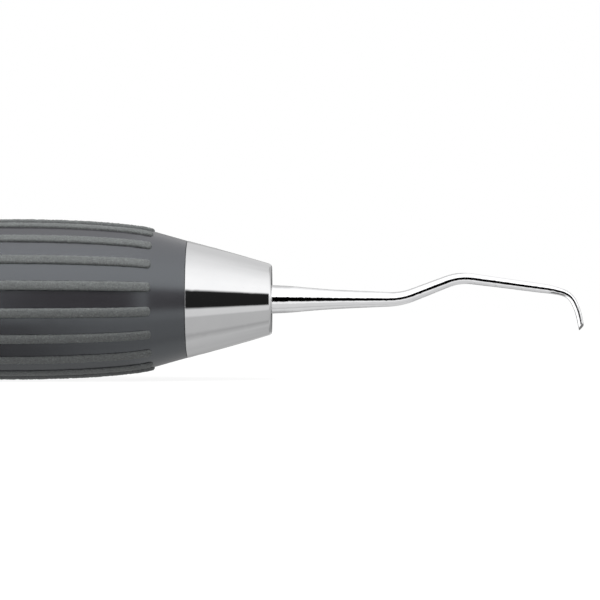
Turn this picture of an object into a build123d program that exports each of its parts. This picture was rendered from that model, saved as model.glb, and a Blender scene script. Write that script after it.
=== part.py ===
"""A double-ended hand scaler with a large two-shot grip at each end of a hollow handle.

Frame: millimetres, +X along the handle towards the front working end, +Z up, origin on the handle's
axis at its middle. Both hoe blades hook towards -Z, and the rear half mirrors the front half.
"""

import os
from math import copysign, cos, pi, radians, sin

from build123d import *

# ---- handle -------------------------------------------------------------------------------------
HANDLE_HALF = 54.0  # from the middle to the face where a grip meets its nose cone
BARREL_HALF = 15.0  # half the bare steel barrel between the grips
BARREL_RADIUS = 4.2
BARREL_LAND = 3.0  # length at each end of the barrel that grips the core tube
BARREL_RELIEF_RADIUS = 3.75
BARREL_GROOVE_PITCH = 1.2
BARREL_GROOVE_DEPTH = 0.16
BARREL_GROOVES = 3  # ring grooves near each end of the barrel
TUBE_RADIUS = 3.2
TUBE_BORE_RADIUS = 2.8
TUBE_SETBACK = 1.0  # the tube ends this far behind the nose cone, which leaves the seal's pocket

# ---- grip: smooth shell and the ribbed second shot ----------------------------------------------
GRIP_LENGTH = HANDLE_HALF - BARREL_HALF
GRIP_RADIUS = 6.03  # smooth body at its widest
NOSE_RADIUS = 4.56  # where the shell meets the nose cone
NOSE_TAPER = (2.4, 5.24)  # end of the straight nose taper: distance behind the cone, radius
FRONT_SHOULDER = ((5.3, 5.70), (9.0, 5.94))
WIDEST = (13.5, 25.0)  # stretch of constant radius
REAR_SHOULDER = ((31.0, 5.78),)
TAIL_TAPER = (36.4, 4.9)
RIB_COUNT = 18
RIB_WIDTH = 0.78
RIB_HEIGHT = 0.24
RIB_EDGE = 0.16  # rounding along a rib's top
RIB_END_GAP = 2.53  # smooth band between the ribs and each end of the grip
LINER_RADIUS = 3.9  # the rib shot's inner sleeve, which joins the ribs under the shell
LINER_END_GAP = 3.2

# ---- nose cone, thread insert and seal ----------------------------------------------------------
CONE_LENGTH = 6.6
CONE_FRONT_RADIUS = 2.72
CONE_BULGE = 0.04  # how far the cone's side stands outside a straight taper
CONE_EDGE = 0.3
CONE_CHAMFER = 0.06
SPIGOT_RADIUS = 1.98
SPIGOT_LENGTH = 7.0
THREAD_RADIUS = 2.0
INSERT_LENGTH = 7.0
SEAL_RADIUS = 0.5  # section radius of the O-ring
TANG_RADIUS = 1.0
TANG_LENGTH = 11.5

# ---- working end --------------------------------------------------------------------------------
# The shank's centreline as runs of (length, turn in degrees); a turn is spread evenly over its run.
SHANK_RUNS = (
    (9.1, 0.0),
    (1.9, 21.0),
    (2.87, 0.0),
    (1.98, -28.7),
    (5.83, 0.0),
    (1.3, -9.5),
    (1.15, -44.5),
    (1.4, -17.5),
    (2.0, 0.0),
)
# Sections: distance along the shank, half thickness in the bending plane, half width across it,
# and the superellipse power of the outline, which is 2 where the section is an ellipse.
SHANK_SECTIONS = (
    (0.0, 1.11, 1.11, 2.0),
    (1.5, 1.03, 1.03, 2.0),
    (2.8, 0.91, 0.91, 2.0),
    (4.7, 0.77, 0.77, 2.0),
    (7.2, 0.65, 0.65, 2.0),
    (10.5, 0.52, 0.52, 2.0),
    (12.5, 0.48, 0.48, 2.2),
    (15.5, 0.43, 0.43, 2.35),
    (18.5, 0.385, 0.385, 2.4),
    (21.5, 0.355, 0.36, 2.4),
    (22.6, 0.29, 0.38, 2.85),
    (23.4, 0.25, 0.42, 3.2),
    (24.2, 0.23, 0.46, 3.6),
    (25.0, 0.22, 0.49, 4.0),
    (26.0, 0.215, 0.50, 4.4),
    (28.0, 0.21, 0.50, 5.0),
)
STATION_STEP = 0.45  # spacing of the sections that the shank is lofted through
BLADE_START = 21.5  # the blade twists from here to the tip
BLADE_TWIST = 8.0  # degrees that it turns about its own length
SECTION_POINTS = 20
BEVEL_ANGLE = 55.0  # between the inner face and the honed bevel
BEVEL_SKEW = 15.0
EDGE_DISTANCE = 26.35  # where the cutting edge crosses the blade's inner face, along the shank

OFFCUT = 4.0  # side of the block that cuts the bevel

CONE_FACE = HANDLE_HALF + CONE_LENGTH
SHANK_LENGTH = sum(length for length, _ in SHANK_RUNS)
TUBE_HALF = HANDLE_HALF - TUBE_SETBACK


def spun(outline):
    """The solid that a closed outline, given in the XY plane, makes about the X axis."""
    return revolve(make_face(outline), Axis.X)


def ring(start, end, outer, inner=0.0):
    """A plain round sleeve or disc along X."""
    solid = Cylinder(outer, end - start)
    if inner:
        solid -= Cylinder(inner, end - start)
    return Pos((start + end) / 2, 0, 0) * Rot(0, 90, 0) * solid


def grip_body(extra=0.0):
    """The grip's barrel shape as a solid of revolution, with extra added to every radius."""

    def at(behind_cone, radius):
        return (HANDLE_HALF - behind_cone, radius + extra)

    nose, tail = at(0, NOSE_RADIUS), at(GRIP_LENGTH, BARREL_RADIUS)
    nose_end, tail_end = at(*NOSE_TAPER), at(*TAIL_TAPER)
    wide_front, wide_rear = at(WIDEST[0], GRIP_RADIUS), at(WIDEST[1], GRIP_RADIUS)
    taper_front = Vector(*nose_end) - Vector(*nose)
    taper_rear = Vector(*tail) - Vector(*tail_end)
    front = [at(*point) for point in FRONT_SHOULDER]
    rear = [at(*point) for point in REAR_SHOULDER]
    top = [
        Line(nose, nose_end),
        Spline(nose_end, *front, wide_front, tangents=(taper_front, (-1, 0))),
        Line(wide_front, wide_rear),
        Spline(wide_rear, *rear, tail_end, tangents=((-1, 0), taper_rear)),
        Line(tail_end, tail),
    ]
    ends = Polyline(tail, (tail[0], 0), (nose[0], 0), nose)
    return spun(top + [ends])


def rib_blank():
    """One rib before its top is shaped: a slot-shaped bar standing out along +Z."""
    length = GRIP_LENGTH - 2 * RIB_END_GAP
    middle = HANDLE_HALF - GRIP_LENGTH / 2
    low = (TUBE_RADIUS + LINER_RADIUS) / 2
    plan = Plane((middle, 0, low)) * SlotOverall(length, RIB_WIDTH)
    return extrude(plan, GRIP_RADIUS + 2 * RIB_HEIGHT - low)


def around(solid):
    """RIB_COUNT copies of a solid about X, evenly spaced, with the first where it was drawn."""
    return [Rot(index * 360 / RIB_COUNT, 0, 0) * solid for index in range(RIB_COUNT)]


def grip_liner():
    start = HANDLE_HALF - GRIP_LENGTH + LINER_END_GAP
    return ring(start, HANDLE_HALF - LINER_END_GAP, LINER_RADIUS, TUBE_RADIUS)


def grip_shell():
    """First shot: the smooth body, slotted for the ribs and bored for the tube and the liner."""
    start, end = HANDLE_HALF - GRIP_LENGTH, HANDLE_HALF
    shell = grip_body() - ring(start, end, TUBE_RADIUS)
    return shell - grip_liner() - around(rib_blank())


def grip_ribs():
    """Second shot: an inner sleeve whose ribs pass through the shell and stand proud of it."""
    rib = rib_blank() & grip_body(RIB_HEIGHT)
    top = rib.faces().sort_by(Axis.Z).filter_by(lambda face: face.normal_at().Z > 0.5)
    rib = fillet(top.edges().filter_by(on_rim), RIB_EDGE)
    return grip_liner() + around(rib)


def on_rim(edge):
    """True for the edges around a rib's top, and not for the seams that cross it."""
    middle = edge @ 0.5
    half = GRIP_LENGTH / 2 - RIB_END_GAP - RIB_WIDTH / 2
    past_end = abs(middle.X - (HANDLE_HALF - GRIP_LENGTH / 2)) > half
    return past_end or abs(abs(middle.Y) - RIB_WIDTH / 2) < RIB_WIDTH / 10


def core_tube():
    return ring(-TUBE_HALF, TUBE_HALF, TUBE_RADIUS, TUBE_BORE_RADIUS)


def centre_barrel():
    """The bare barrel between the grips, relieved inside and ring-grooved near both ends."""
    barrel = ring(-BARREL_HALF, BARREL_HALF, BARREL_RADIUS, TUBE_RADIUS)
    relief = BARREL_HALF - BARREL_LAND
    barrel -= ring(-relief, relief, BARREL_RELIEF_RADIUS, TUBE_RADIUS)
    for index in range(BARREL_GROOVES):
        place = BARREL_HALF - (index + 1) * BARREL_GROOVE_PITCH
        for side in (-1, 1):
            barrel -= Pos(side * place, 0, 0) * Rot(0, 90, 0) * Torus(
                BARREL_RADIUS, BARREL_GROOVE_DEPTH
            )
    return barrel


def nose_cone():
    """The polished cone with its threaded spigot, bored for the working end's tang."""
    base = (HANDLE_HALF, NOSE_RADIUS - CONE_CHAMFER)
    rim = (HANDLE_HALF + CONE_CHAMFER, NOSE_RADIUS)
    front = (CONE_FACE, CONE_FRONT_RADIUS)
    middle = ((rim[0] + front[0]) / 2, (rim[1] + front[1]) / 2 + CONE_BULGE)
    spigot_end = HANDLE_HALF - SPIGOT_LENGTH
    outline = [
        Line(base, rim),
        ThreePointArc(rim, middle, front),
        Line(front, (CONE_FACE, TANG_RADIUS)),
        Line((CONE_FACE, TANG_RADIUS), (spigot_end, TANG_RADIUS)),
        Line((spigot_end, TANG_RADIUS), (spigot_end, SPIGOT_RADIUS)),
        Line((spigot_end, SPIGOT_RADIUS), (HANDLE_HALF, SPIGOT_RADIUS)),
        Line((HANDLE_HALF, SPIGOT_RADIUS), base),
    ]
    cone = spun(outline)
    edge = cone.edges().filter_by(GeomType.CIRCLE).sort_by(
        lambda e: abs(e.radius - CONE_FRONT_RADIUS) + abs(e.arc_center.X - CONE_FACE)
    )[0]
    return fillet(edge, CONE_EDGE)


def thread_insert():
    return ring(TUBE_HALF - INSERT_LENGTH, TUBE_HALF, TUBE_BORE_RADIUS, THREAD_RADIUS)


def seal_ring():
    """The O-ring between the tube's end and the back of the nose cone."""
    middle = TUBE_HALF + SEAL_RADIUS
    return Pos(middle, 0, 0) * Rot(0, 90, 0) * Torus(TUBE_RADIUS - SEAL_RADIUS, SEAL_RADIUS)


def along_shank(distance):
    """(x, z, heading in degrees) of the shank's centreline at a distance from the cone's face."""
    x, z, heading, left = CONE_FACE, 0.0, 0.0, distance
    for length, turn in SHANK_RUNS:
        step = min(left, length)
        half_turn = radians(turn) * step / length / 2
        chord = step * sin(half_turn) / half_turn if half_turn else step
        x += chord * cos(radians(heading) + half_turn)
        z += chord * sin(radians(heading) + half_turn)
        heading += turn * step / length
        left -= step
    return x, z, heading


def slope(row, column):
    """How fast a column of SHANK_SECTIONS changes at a row, from the rows on either side."""
    before = SHANK_SECTIONS[max(row - 1, 0)]
    after = SHANK_SECTIONS[min(row + 1, len(SHANK_SECTIONS) - 1)]
    return (after[column] - before[column]) / (after[0] - before[0])


def section_size(distance):
    """(half thickness, half width, power) at a distance, on smooth curves through the sections."""
    row = max(row for row, section in enumerate(SHANK_SECTIONS[:-1]) if section[0] <= distance)
    here, after = SHANK_SECTIONS[row : row + 2]
    span = after[0] - here[0]
    share = (distance - here[0]) / span
    rest = 1 - share
    sizes = []
    for column in (1, 2, 3):
        ends = here[column] * (1 + 2 * share) * rest**2 + after[column] * (1 + 2 * rest) * share**2
        bend = slope(row, column) * rest - slope(row + 1, column) * share
        sizes.append(ends + bend * span * share * rest)
    return sizes


def twist(distance):
    """Degrees that the section is turned about the shank's length."""
    return BLADE_TWIST * max(0.0, (distance - BLADE_START) / (SHANK_LENGTH - BLADE_START))


def section_plane(distance):
    """The section's plane: its x axis points out of the hook's curve, and its z axis to the tip."""
    x, z, heading = along_shank(distance)
    ahead = Vector(cos(radians(heading)), 0, sin(radians(heading)))
    out = Vector(-sin(radians(heading)), 0, cos(radians(heading)))
    out = out.rotate(Axis((0, 0, 0), ahead), twist(distance))
    return Plane((x, 0, z), x_dir=out, z_dir=ahead)


def shank_section(distance):
    """A closed face that is round at the cone and ever flatter-sided towards the blade."""
    half_thickness, half_width, power = section_size(distance)
    points = []
    for index in range(SECTION_POINTS):
        angle = 2 * pi * (index + 0.5) / SECTION_POINTS
        u = copysign(half_thickness * abs(cos(angle)) ** (2 / power), cos(angle))
        v = copysign(half_width * abs(sin(angle)) ** (2 / power), sin(angle))
        points.append((u, v))
    return section_plane(distance) * make_face(Spline(*points, periodic=True))


def working_end():
    """The shank with its hoe blade, and the tang that is pressed into the nose cone."""
    stations = round(SHANK_LENGTH / STATION_STEP)
    shank = loft([shank_section(SHANK_LENGTH * index / stations) for index in range(stations + 1)])
    plane = section_plane(EDGE_DISTANCE)
    half_thickness = section_size(EDGE_DISTANCE)[0]
    edge = plane.from_local_coords((-half_thickness, 0, 0))
    lean, skew = radians(90 - BEVEL_ANGLE), radians(BEVEL_SKEW)
    skewed_end = plane.z_dir * cos(skew) + plane.y_dir * sin(skew)
    bevel = Plane(edge, z_dir=plane.x_dir * sin(lean) + skewed_end * cos(lean))
    shank -= bevel * Pos(0, 0, OFFCUT / 2) * Box(OFFCUT, OFFCUT, OFFCUT)
    return shank + ring(CONE_FACE - TANG_LENGTH, CONE_FACE, TANG_RADIUS)


def save(name, solid):
    export_step(solid, f"parts/{name}.step")


def main():
    os.makedirs("parts", exist_ok=True)
    save("core_tube", core_tube())
    save("centre_barrel", centre_barrel())
    for name, make in (
        ("grip_shell", grip_shell),
        ("grip_ribs", grip_ribs),
        ("nose_cone", nose_cone),
        ("thread_insert", thread_insert),
        ("seal_ring", seal_ring),
        ("working_end", working_end),
    ):
        solid = make()
        save(f"front_{name}", solid)
        save(f"rear_{name}", mirror(solid, about=Plane.YZ))


main()
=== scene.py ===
"""The hand scaler's looks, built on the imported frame: metres, +X to the front end, +Z up."""

from math import cos, pi, sin

import bpy
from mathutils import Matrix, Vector
from mathutils.bvhtree import BVHTree
from mathutils.noise import fractal


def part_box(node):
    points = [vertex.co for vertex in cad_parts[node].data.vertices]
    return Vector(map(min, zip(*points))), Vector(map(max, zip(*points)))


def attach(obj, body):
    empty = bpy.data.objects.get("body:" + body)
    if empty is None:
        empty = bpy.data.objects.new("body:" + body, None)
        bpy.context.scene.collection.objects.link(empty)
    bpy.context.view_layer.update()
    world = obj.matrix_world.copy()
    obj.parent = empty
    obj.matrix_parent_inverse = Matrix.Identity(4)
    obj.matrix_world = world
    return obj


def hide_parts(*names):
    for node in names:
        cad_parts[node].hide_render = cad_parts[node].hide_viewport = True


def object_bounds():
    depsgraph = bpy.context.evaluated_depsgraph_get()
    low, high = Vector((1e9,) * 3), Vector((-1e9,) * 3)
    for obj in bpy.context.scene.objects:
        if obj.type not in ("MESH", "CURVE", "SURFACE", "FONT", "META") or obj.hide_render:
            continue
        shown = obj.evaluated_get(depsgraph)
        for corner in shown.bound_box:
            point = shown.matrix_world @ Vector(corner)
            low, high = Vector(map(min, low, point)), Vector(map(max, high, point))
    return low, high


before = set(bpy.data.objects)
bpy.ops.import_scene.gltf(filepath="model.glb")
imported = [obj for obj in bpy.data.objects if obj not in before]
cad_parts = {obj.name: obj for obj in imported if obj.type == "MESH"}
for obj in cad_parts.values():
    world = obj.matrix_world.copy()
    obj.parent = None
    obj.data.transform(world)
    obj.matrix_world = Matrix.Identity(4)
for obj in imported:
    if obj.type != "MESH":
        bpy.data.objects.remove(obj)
cad_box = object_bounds()

MM = 0.001
ENDS = ("front", "rear")
CONE_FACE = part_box("front_nose_cone")[1].x
FLOOR_Z = cad_box[0].z


# ---- node helpers -------------------------------------------------------------------------------
def grey(value):
    return (value, value, value, 1)


class Tree:
    """A short way to write shader nodes: each call adds a node and returns its first output."""

    def __init__(self, tree):
        self.tree = tree

    def node(self, kind, inputs=(), output=0, **settings):
        node = self.tree.nodes.new("ShaderNode" + kind)
        for name, value in settings.items():
            setattr(node, name, value)
        for key, value in dict(inputs).items():
            self.feed(node.inputs[key], value)
        return node.outputs[output]

    def feed(self, socket, value):
        if isinstance(value, bpy.types.NodeSocket):
            self.tree.links.new(value, socket)
        else:
            socket.default_value = value

    def math(self, operation, *values):
        return self.node("Math", enumerate(values), operation=operation)

    def between(self, value, low, high):
        """The number that runs from low to high as value runs from 0 to 1."""
        return self.math("ADD", self.math("MULTIPLY", value, high - low), low)

    def ramp(self, value, steps):
        """A grey ramp through (position, brightness) steps."""
        output = self.node("ValToRGB", {"Fac": value})
        elements = output.node.color_ramp.elements
        while len(elements) < len(steps):
            elements.new(1.0)
        for element, (position, _) in zip(elements, steps):
            element.position = position
        for element, (_, brightness) in zip(elements, steps):
            element.color = grey(brightness)
        return output

    def noise(self, size, detail=2.0, rough=0.5, stretch=(1, 1, 1)):
        """Noise whose lumps are about size metres across, divided by stretch along each axis."""
        spot = self.node("TexCoord", output="Object")
        place = self.node("Mapping", {"Vector": spot, "Scale": stretch})
        inputs = {"Vector": place, "Scale": 1 / size, "Detail": detail, "Roughness": rough}
        return self.node("TexNoise", inputs)

    def blend(self, share, low, high):
        """The colour that runs from low to high as share runs from 0 to 1."""
        return self.node("Mix", {"Factor": share, 6: low, 7: high}, output=2, data_type="RGBA")

    def bump(self, height, depth, strength, **inputs):
        """The surface's normal with a relief that is depth metres deep."""
        inputs.update(Height=height, Distance=depth, Strength=strength)
        return self.node("Bump", inputs)


def material(name, metallic=0.0, **sockets):
    """A Principled material, its tree and its shader, on which sockets sets uniform values."""
    made = bpy.data.materials.new(name)
    made.use_nodes = True
    shader = made.node_tree.nodes["Principled BSDF"]
    shader.inputs["Metallic"].default_value = metallic
    for socket, value in sockets.items():
        shader.inputs[socket.replace("_", " ")].default_value = value
    return made, Tree(made.node_tree), shader


def dress(tree, shader, color, roughness, normal=None):
    """Feeds a Principled shader's colour and roughness, and its normal if there is one."""
    tree.feed(shader.inputs["Base Color"], color)
    tree.feed(shader.inputs["Roughness"], roughness)
    if normal is not None:
        tree.feed(shader.inputs["Normal"], normal)


# ---- materials ----------------------------------------------------------------------------------
# Scales that stretch each steel's noise into lines: small along the axes that the lines follow.
CONE_LINES = (1, 0.06, 0.06)
BLADE_LINES = (0.06, 1, 1)
FACET_LINES = (1, 0.05, 1)
BARREL_RINGS = (1, 0.03, 0.03)
THREAD_RINGS = (1, 0.05, 0.05)
CONE_BRIGHTNESS = (0.56, 0.61)  # from the darkest of its smears to the brightest
BLADE_BRIGHTNESS = (0.84, 0.89)
EVEN_RADIUS = 0.05 * MM  # over which the polished steel's normals are evened


def polished_steel(name, brightness, stretch):
    """Hand-buffed stainless steel with soft smears and faint buffing lines."""
    made, tree, shader = material(name, 1.0)
    lines = tree.noise(0.05 * MM, 3.0, 0.6, stretch)
    smear = tree.noise(1.6 * MM, 4.0, 0.6)
    low, high = brightness
    color = tree.blend(smear, (low, low * 1.005, low * 1.02, 1), (high, high, high * 1.005, 1))
    gloss = tree.math("ADD", tree.math("MULTIPLY", lines, 0.01), tree.math("MULTIPLY", smear, 0.06))
    even = tree.node("Bevel", {"Radius": EVEN_RADIUS})
    dress(tree, shader, color, gloss, tree.bump(lines, 0.00005 * MM, 0.3, Normal=even))
    return made


def honed_steel_painted_dark():
    """The facet ground on a blade, with straight grinding lines across it; its dark colour is a
    painted dark reflection.
    """
    made, tree, shader = material("honed_steel_painted_dark", 1.0)
    lines = tree.noise(0.02 * MM, 2.0, 0.6, FACET_LINES)
    # painted dark reflection: far darker than real steel
    color = tree.blend(lines, grey(0.08), grey(0.18))
    dress(tree, shader, color, tree.between(lines, 0.2, 0.4), tree.bump(lines, 0.001 * MM, 0.5))
    return made


def satin_steel():
    """Turned and bead-blasted steel: fine rings and a broad, soft highlight."""
    made, tree, shader = material("satin_steel", 1.0)
    rings = tree.noise(0.06 * MM, 4.0, 0.7, BARREL_RINGS)
    grain = tree.noise(0.04 * MM, 2.0, 0.6)
    smear = tree.noise(3.0 * MM, 4.0, 0.6)
    color = tree.blend(smear, (0.50, 0.505, 0.515, 1), (0.59, 0.59, 0.60, 1))
    height = tree.math("ADD", rings, tree.math("MULTIPLY", grain, 0.5))
    dress(tree, shader, color, tree.between(rings, 0.22, 0.38), tree.bump(height, 0.0025 * MM, 0.6))
    return made


def grip_body():
    """Dense dark grey moulding with a cool satin sheen: soft flow marks and a fine orange peel."""
    made, tree, shader = material("grip_body", IOR=1.84, Specular_Tint=(0.90, 0.99, 1.04, 1))
    flow = tree.noise(2.4 * MM, 4.0, 0.55, (0.35, 1, 1))
    speck = tree.noise(0.09 * MM, 3.0, 0.6)
    color = tree.blend(flow, (0.022, 0.020, 0.023, 1), (0.030, 0.027, 0.031, 1))
    color = tree.blend(tree.ramp(speck, ((0.66, 0.0), (0.78, 0.35))), color, (0.06, 0.063, 0.07, 1))
    dress(tree, shader, color, tree.between(flow, 0.2, 0.28), tree.bump(speck, 0.0022 * MM, 0.7))
    return made


def grip_rib():
    """Spark-eroded grey rib: a dense matt grain, with painted shade in its pits and painted highlights
    on its peaks.
    """
    made, tree, shader = material("grip_rib")
    grain = tree.noise(0.12 * MM, 4.0, 0.7)
    pits = tree.noise(0.3 * MM, 3.0, 0.6)
    dust = tree.noise(3.0 * MM, 4.0, 0.6, (0.4, 1, 1))
    color = tree.blend(dust, (0.077, 0.083, 0.083, 1), (0.104, 0.111, 0.110, 1))
    # painted shade: darker where the grain is low, in its pits
    color = tree.blend(tree.ramp(grain, ((0.36, 0.65), (0.5, 0.0))), color, grey(0.035))
    # painted highlights: lighter where the grain is high, on its peaks
    color = tree.blend(tree.ramp(grain, ((0.56, 0.0), (0.70, 0.65))), color, (0.204, 0.212, 0.21, 1))
    height = tree.math("ADD", grain, tree.math("MULTIPLY", pits, 0.8))
    dress(tree, shader, color, tree.between(pits, 0.5, 0.7), tree.bump(height, 0.03 * MM, 0.8))
    return made


def insert_steel():
    """Plain turned steel with a thread's fine ridges, seen only if the grip is opened."""
    made, tree, shader = material("insert_steel", 1.0)
    rings = tree.noise(0.1 * MM, 2.0, 0.5, THREAD_RINGS)
    color = tree.blend(rings, grey(0.4), grey(0.52))
    dress(tree, shader, color, tree.between(rings, 0.25, 0.45), tree.bump(rings, 0.01 * MM, 0.6))
    return made


def seal_rubber():
    """Black elastomer with a dull, slightly blotched skin."""
    made, tree, shader = material("seal_rubber")
    bloom = tree.noise(0.4 * MM, 3.0, 0.6)
    dress(tree, shader, tree.blend(bloom, grey(0.015), grey(0.03)), tree.between(bloom, 0.5, 0.7))
    return made


def paint(node, look):
    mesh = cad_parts[node].data
    mesh.materials.clear()
    mesh.materials.append(look)


FACET_REACH = 1.5 * MM  # the facet lies within this distance of the tip along X
FACET_TOLERANCE = 0.004 * MM  # the most that its triangles may lie out of its plane
FACET_TURN = 0.9998  # cosine of the most that their normals may differ


def paint_facet(node, look):
    """Gives a second material to the flat facet ground across a blade's end: its largest plane."""
    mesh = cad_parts[node].data
    tip = max(abs(v.co.x) for v in mesh.vertices)
    near = [p for p in mesh.polygons if tip - abs(p.center.x) < FACET_REACH]

    def in_plane(first):
        level = [p for p in near if p.normal.dot(first.normal) > FACET_TURN]
        return [p for p in level if abs((p.center - first.center).dot(first.normal)) < FACET_TOLERANCE]

    facet = max((in_plane(p) for p in near), key=lambda group: sum(p.area for p in group))
    mesh.materials.append(look)
    for polygon in facet:
        polygon.material_index = 1


# ---- the grips' ribs, with their grain ----------------------------------------------------------
RIB_WIDTH = 0.78 * MM
RIB_HEIGHT = 0.24 * MM
RIB_COUNT = 18
RIB_DOME = 2.5  # superellipse power of a rib's cross-section
RIB_CORNER = 3.4  # the same for its ends, seen from above, which are blunter than half circles
RIB_ROOT = 0.10 * MM  # how far a rib's foot reaches below the shell's skin
RIB_TIP = 0.3  # width of its last ring as a share of RIB_WIDTH
RIB_SPACING = 0.1 * MM  # between the rings of its mesh
RIB_ACROSS = 12  # strips in its domed top
RIB_FALL = 0.5  # how its height follows its width at its ends: as this power
GRAIN_SIZE = 0.15 * MM
GRAIN_DEPTH = 0.05 * MM
GRAIN_LUMP = 4 * GRAIN_SIZE  # the size of the broader lumps under the grain, half as strong
GRAIN_CONTRAST = 0.7
RAY_START = 20 * MM  # from the axis: outside every part
LINER_BAND = 1 * MM  # how far from its innermost point a rib set's joining sleeve reaches


def skin_radius(node, angle):
    """A function of x that gives the radius of a node's outer skin, looking in at an angle."""
    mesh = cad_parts[node].data
    tree = BVHTree.FromPolygons([v.co for v in mesh.vertices], [p.vertices for p in mesh.polygons])
    outward = Vector((0, -cos(angle), sin(angle)))

    def radius(x):
        middle = Vector((x, 0, 0))
        spot = tree.ray_cast(middle + outward * RAY_START, -outward)[0]
        return (spot - middle).length

    return radius


def superellipse(share, power):
    """How far up a blunt arch is, from 1 to 0, at a share of the way out to its foot."""
    return max(0.0, 1 - min(abs(share), 1.0) ** power) ** (1 / power)


def on_rib(sideways, height, x, angle):
    """The point at a height above the handle's axis, sideways from the rib's own middle."""
    across = sideways * sin(angle) - height * cos(angle)
    return Vector((x, across, height * sin(angle) + sideways * cos(angle)))


def pit_share(point):
    """How deep the spark-eroded texture is at a point, from 0 to 1."""
    fine = fractal(point / GRAIN_SIZE, 0.8, 2.0, 3)
    broad = fractal(point / GRAIN_LUMP, 1.0, 2.0, 2)
    return min(max(0.5 - GRAIN_CONTRAST * (fine + 0.5 * broad), 0.0), 1.0)


def rib_ring(x, skin, wide, angle):
    """The points round a rib at x: over its domed top from foot to foot, then under the skin."""
    ring = []
    for index in range(RIB_ACROSS + 1):
        side = -cos(pi * index / RIB_ACROSS)
        arch = superellipse(side, RIB_DOME)
        sideways = side * wide * RIB_WIDTH / 2
        rise = RIB_HEIGHT * arch * wide ** RIB_FALL
        depth = GRAIN_DEPTH * pit_share(on_rib(sideways, skin + rise, x, angle))
        sideways -= side * wide * depth * (1 - arch)
        rise -= depth * min(1.0, rise / RIB_HEIGHT)
        ring.append(on_rib(sideways, skin + rise, x, angle))
    for side in (1, -1):
        ring.append(on_rib(side * wide * RIB_WIDTH / 2, skin - RIB_ROOT, x, angle))
    return ring


def rib_rings(radius, start, end, angle):
    """The rings of points of one rib from end to end."""
    half = (end - start) / 2
    count = round(2 * half / RIB_SPACING)
    rings = []
    for step in range(count + 1):
        along = half * (2 * step / count - 1)
        x = (start + end) / 2 + along
        past_straight = (abs(along) - half) / (RIB_WIDTH / 2) + 1
        wide = max(superellipse(max(past_straight, 0.0), RIB_CORNER), RIB_TIP)
        rings.append(rib_ring(x, radius(x), wide, angle))
    return rings


def rib_span(node):
    """Where the ribs of a node start and end along X: the reach of all that isn't their sleeve."""
    spots = [v.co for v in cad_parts[node].data.vertices]
    liner = min(spot.yz.length for spot in spots) + LINER_BAND
    proud = [spot.x for spot in spots if spot.yz.length > liner]
    return min(proud), max(proud)


def ring_faces(first, around, last):
    """The faces between rings of around points each, from point first on, and the two end caps."""
    faces = []
    for here in range(first, last, around):
        for spot in range(around):
            after = (spot + 1) % around
            ahead = here + around
            faces.append((here + spot, ahead + spot, ahead + after, here + after))
    faces.append([first + spot for spot in range(around)])
    faces.append([last + spot for spot in reversed(range(around))])
    return faces


def grained_ribs(end, look):
    """Every rib of one grip as a closed mesh, in place of the plain CAD ones."""
    node = f"{end}_grip_ribs"
    pitch = 2 * pi / RIB_COUNT
    radius = skin_radius(f"{end}_grip_shell", 0.0)
    low, high = rib_span(node)
    points, faces = [], []
    for index in range(RIB_COUNT):
        rings = rib_rings(radius, low, high, pi / 2 + index * pitch)
        first, around = len(points), len(rings[0])
        points += [spot for ring in rings for spot in ring]
        faces += ring_faces(first, around, first + (len(rings) - 1) * around)
    mesh = bpy.data.meshes.new(f"{end}_ribs_grained")
    mesh.from_pydata(points, [], faces)
    mesh.validate()
    mesh.polygons.foreach_set("use_smooth", [True] * len(mesh.polygons))
    mesh.materials.append(look)
    ribs = bpy.data.objects.new(f"{end}_ribs_grained", mesh)
    bpy.context.scene.collection.objects.link(ribs)
    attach(ribs, "root")
    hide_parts(node)


# ---- stage --------------------------------------------------------------------------------------
# What surrounds the instrument is given by the angle round it, where 0 is towards the camera, 90
# overhead and 180 behind, and by how far along X the direction points, from -1 to 1.
# The brightness by the angle: soft boxes above and a pale table below, with a painted shadow of the
# instrument on the table in the dip near -80.
SKY = (
    (-180, 0.6),
    (-172, 0.95),
    (-150, 0.64),
    (-133, 0.74),
    (-95, 0.74),
    # painted shadow of the instrument on the table below it
    (-80, 0.56),
    (-72, 0.70),
    (-39, 0.72),
    (-35, 0.98),
    (-17, 1.0),
    (17, 1.2),
    (24, 1.6),
    (41, 1.6),
    (65, 1.48),
    (90, 1.25),
    (150, 1.0),
    (172, 0.9),
    (180, 0.6),
)
SKY_PEAK = max(brightness for _, brightness in SKY)
# A soft box at the rear end: how much of it shows along X, and its brightness.
SIDE_REACH = ((-0.42, 1.0), (-0.22, 0.0))
SIDE_GLOW = 1.3
# A black card level with the instrument: how dark it is by the angle up or down from the camera's
# direction, and its share of that along X, with a slit between its two parts.
CARD = ((17, 1.0), (22, 0.0))
CARD_REACH = (
    (-0.22, 0.0),
    (-0.17, 1.0),
    (0.24, 1.0),
    (0.265, 0.0),
    (0.36, 0.0),
    (0.42, 0.98),
    (0.62, 0.98),
    (0.72, 0.0),
)
# Grey cloth behind, from overhead to below: how dark by the angle, and its share of that along X.
CLOTH = (
    (-180, 0.38),
    (-152, 0.44),
    (-122, 0.38),
    (-98, 0.0),
    (95, 0.0),
    (122, 0.38),
    (180, 0.38),
)
CLOTH_REACH = (
    (-0.40, 0.0),
    (-0.32, 1.0),
    (0.04, 1.0),
    (0.09, 0.3),
    (0.30, 0.3),
    (0.36, 1.0),
    (0.85, 1.0),
    (0.95, 0.0),
)
# A painted shadow of the grip on the table: a darker stretch of it, towards the rear end.
TABLE_SHADOW = ((-114, 0.0), (-102, 0.74), (-38, 0.74), (-30, 0.0))
TABLE_SHADOW_REACH = ((-0.50, 0.0), (-0.42, 1.0), (-0.07, 1.0), (-0.03, 0.0))
# A narrow black card behind, level with the instrument: given as the first card is, but with its
# share along X the same in both directions.
REAR = ((170, 0.0), (174, 0.93))
REAR_REACH = ((0.66, 1.0), (0.74, 0.0))


def shares(steps, low, high):
    """Steps whose positions are given as shares of the way from low to high."""
    return [((position - low) / (high - low), value) for position, value in steps]


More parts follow.
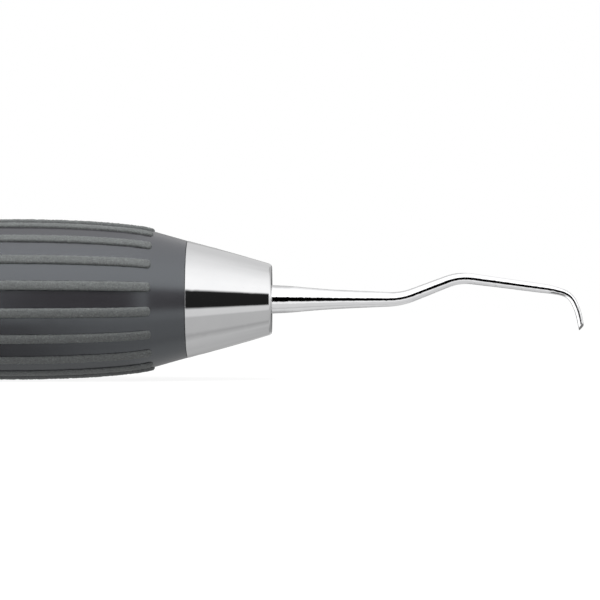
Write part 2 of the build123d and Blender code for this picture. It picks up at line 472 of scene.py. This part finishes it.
def make_world():
    """The studio for the steel to reflect and the light it casts, behind a plain white backdrop."""
    world = bpy.data.worlds.new("studio")
    bpy.context.scene.world = world
    world.use_nodes = True
    world.node_tree.nodes.clear()
    tree = Tree(world.node_tree)
    heading = tree.node("SeparateXYZ", {0: tree.node("TexCoord", output="Generated")})
    along, across, up = heading.node.outputs
    angle = tree.math("ARCTAN2", up, tree.math("MULTIPLY", across, -1.0))
    turn = tree.math("ADD", tree.math("DIVIDE", angle, 2 * pi), 0.5)
    off_level = tree.math("DIVIDE", tree.math("ABSOLUTE", angle), pi)
    place = tree.math("ADD", tree.math("DIVIDE", along, 2.0), 0.5)

    def by_turn(steps):
        return tree.ramp(turn, shares(steps, -180, 180))

    def by_level(steps):
        return tree.ramp(off_level, shares(steps, 0, 180))

    def by_place(steps):
        return tree.ramp(place, shares(steps, -1, 1))

    sky = by_turn([(turned, brightness / SKY_PEAK) for turned, brightness in SKY])
    sky = tree.blend(by_place(SIDE_REACH), sky, grey(SIDE_GLOW / SKY_PEAK))
    card = tree.math("MULTIPLY", by_level(CARD), by_place(CARD_REACH))
    cloth = tree.math("MULTIPLY", by_turn(CLOTH), by_place(CLOTH_REACH))
    rear = tree.ramp(tree.math("ABSOLUTE", along), REAR_REACH)
    rear = tree.math("MULTIPLY", by_level(REAR), rear)
    # painted shadow of the grip on the table
    table_shadow = tree.math("MULTIPLY", by_turn(TABLE_SHADOW), by_place(TABLE_SHADOW_REACH))
    dark = tree.math("MAXIMUM", tree.math("ADD", card, cloth), rear)
    light = tree.blend(tree.math("MAXIMUM", dark, table_shadow), sky, grey(0.0))
    studio = tree.node("Background", {"Color": light, "Strength": SKY_PEAK})
    backdrop = tree.node("Background", {"Color": grey(1.0), "Strength": 1.0})
    seen = tree.node("LightPath", output="Is Camera Ray")
    mix = tree.node("MixShader", {0: seen, 1: studio, 2: backdrop})
    out = world.node_tree.nodes.new("ShaderNodeOutputWorld")
    world.node_tree.links.new(mix, out.inputs["Surface"])


FLOOR_HALF = 1.5
FLOOR_GREY = 0.85
BACKDROP_SHARE = 0.9  # how much of the floor's look comes from its even white


def make_floor():
    """A pale floor that only the camera sees, so that the studio's lower half lights the steel."""
    mesh = bpy.data.meshes.new("floor")
    corners = [(x * FLOOR_HALF, y * FLOOR_HALF, 0) for x, y in ((-1, -1), (1, -1), (1, 1), (-1, 1))]
    mesh.from_pydata(corners, [], [(0, 1, 2, 3)])
    floor = bpy.data.objects.new("floor", mesh)
    floor.location.z = FLOOR_Z
    floor.visible_glossy = False
    floor.visible_diffuse = False
    bpy.context.scene.collection.objects.link(floor)
    made, tree, shader = material("floor_pale", Roughness=0.9)
    shader.inputs["Base Color"].default_value = grey(FLOOR_GREY)
    white = tree.node("Emission", {"Color": grey(1.0), "Strength": 1.0})
    mix = tree.node("MixShader", {0: BACKDROP_SHARE, 1: shader.outputs[0], 2: white})
    tree.feed(made.node_tree.nodes["Material Output"].inputs["Surface"], mix)
    mesh.materials.append(made)


LAMP_PLACE = Vector((0.05, -0.145, 0.415))
LAMP_AIM = Vector((0.05, 0, 0))
LAMP_SIZE = 0.2
LAMP_GLOW = 1.0  # how bright it makes a white surface that faces it


def make_lamp():
    """A soft box above the camera that models the grips' ribs; the steel doesn't reflect it."""
    data = bpy.data.lights.new("soft_box", "AREA")
    data.shape = "SQUARE"
    data.size = LAMP_SIZE
    aim = LAMP_AIM - LAMP_PLACE
    data.energy = LAMP_GLOW * pi ** 2 * aim.length_squared
    lamp = bpy.data.objects.new("soft_box", data)
    lamp.location = LAMP_PLACE
    lamp.rotation_euler = aim.to_track_quat("-Z", "Y").to_euler()
    lamp.visible_glossy = False
    bpy.context.scene.collection.objects.link(lamp)


CAMERA_DISTANCE = 167.5 * MM
CAMERA_AIM = CONE_FACE + 2.18 * MM  # the view is centred just beyond the nose cone
CAMERA_HEIGHT = -0.05 * MM
SENSOR_MM = 36.0
LENS_MM = 129.0


def make_camera():
    data = bpy.data.cameras.new("camera")
    data.sensor_width = SENSOR_MM
    data.lens = LENS_MM
    data.clip_start = 0.01
    data.clip_end = 10.0
    camera = bpy.data.objects.new("camera", data)
    bpy.context.scene.collection.objects.link(camera)
    camera.location = (CAMERA_AIM, -CAMERA_DISTANCE, CAMERA_HEIGHT)
    camera.rotation_euler = (pi / 2, 0, 0)
    bpy.context.scene.camera = camera


make_world()
make_floor()
make_lamp()
make_camera()
cone_steel = polished_steel("polished_cone", CONE_BRIGHTNESS, CONE_LINES)
blade_steel = polished_steel("polished_blade", BLADE_BRIGHTNESS, BLADE_LINES)
facet_steel = honed_steel_painted_dark()
satin = satin_steel()
body = grip_body()
rib = grip_rib()
insert = insert_steel()
seal = seal_rubber()
paint("centre_barrel", satin)
paint("core_tube", satin)
for end in ENDS:
    paint(f"{end}_nose_cone", cone_steel)
    paint(f"{end}_working_end", blade_steel)
    paint_facet(f"{end}_working_end", facet_steel)
    paint(f"{end}_grip_shell", body)
    paint(f"{end}_grip_ribs", rib)
    paint(f"{end}_thread_insert", insert)
    paint(f"{end}_seal_ring", seal)
    grained_ribs(end, rib)
bpy.context.scene.view_settings.view_transform = "Standard"
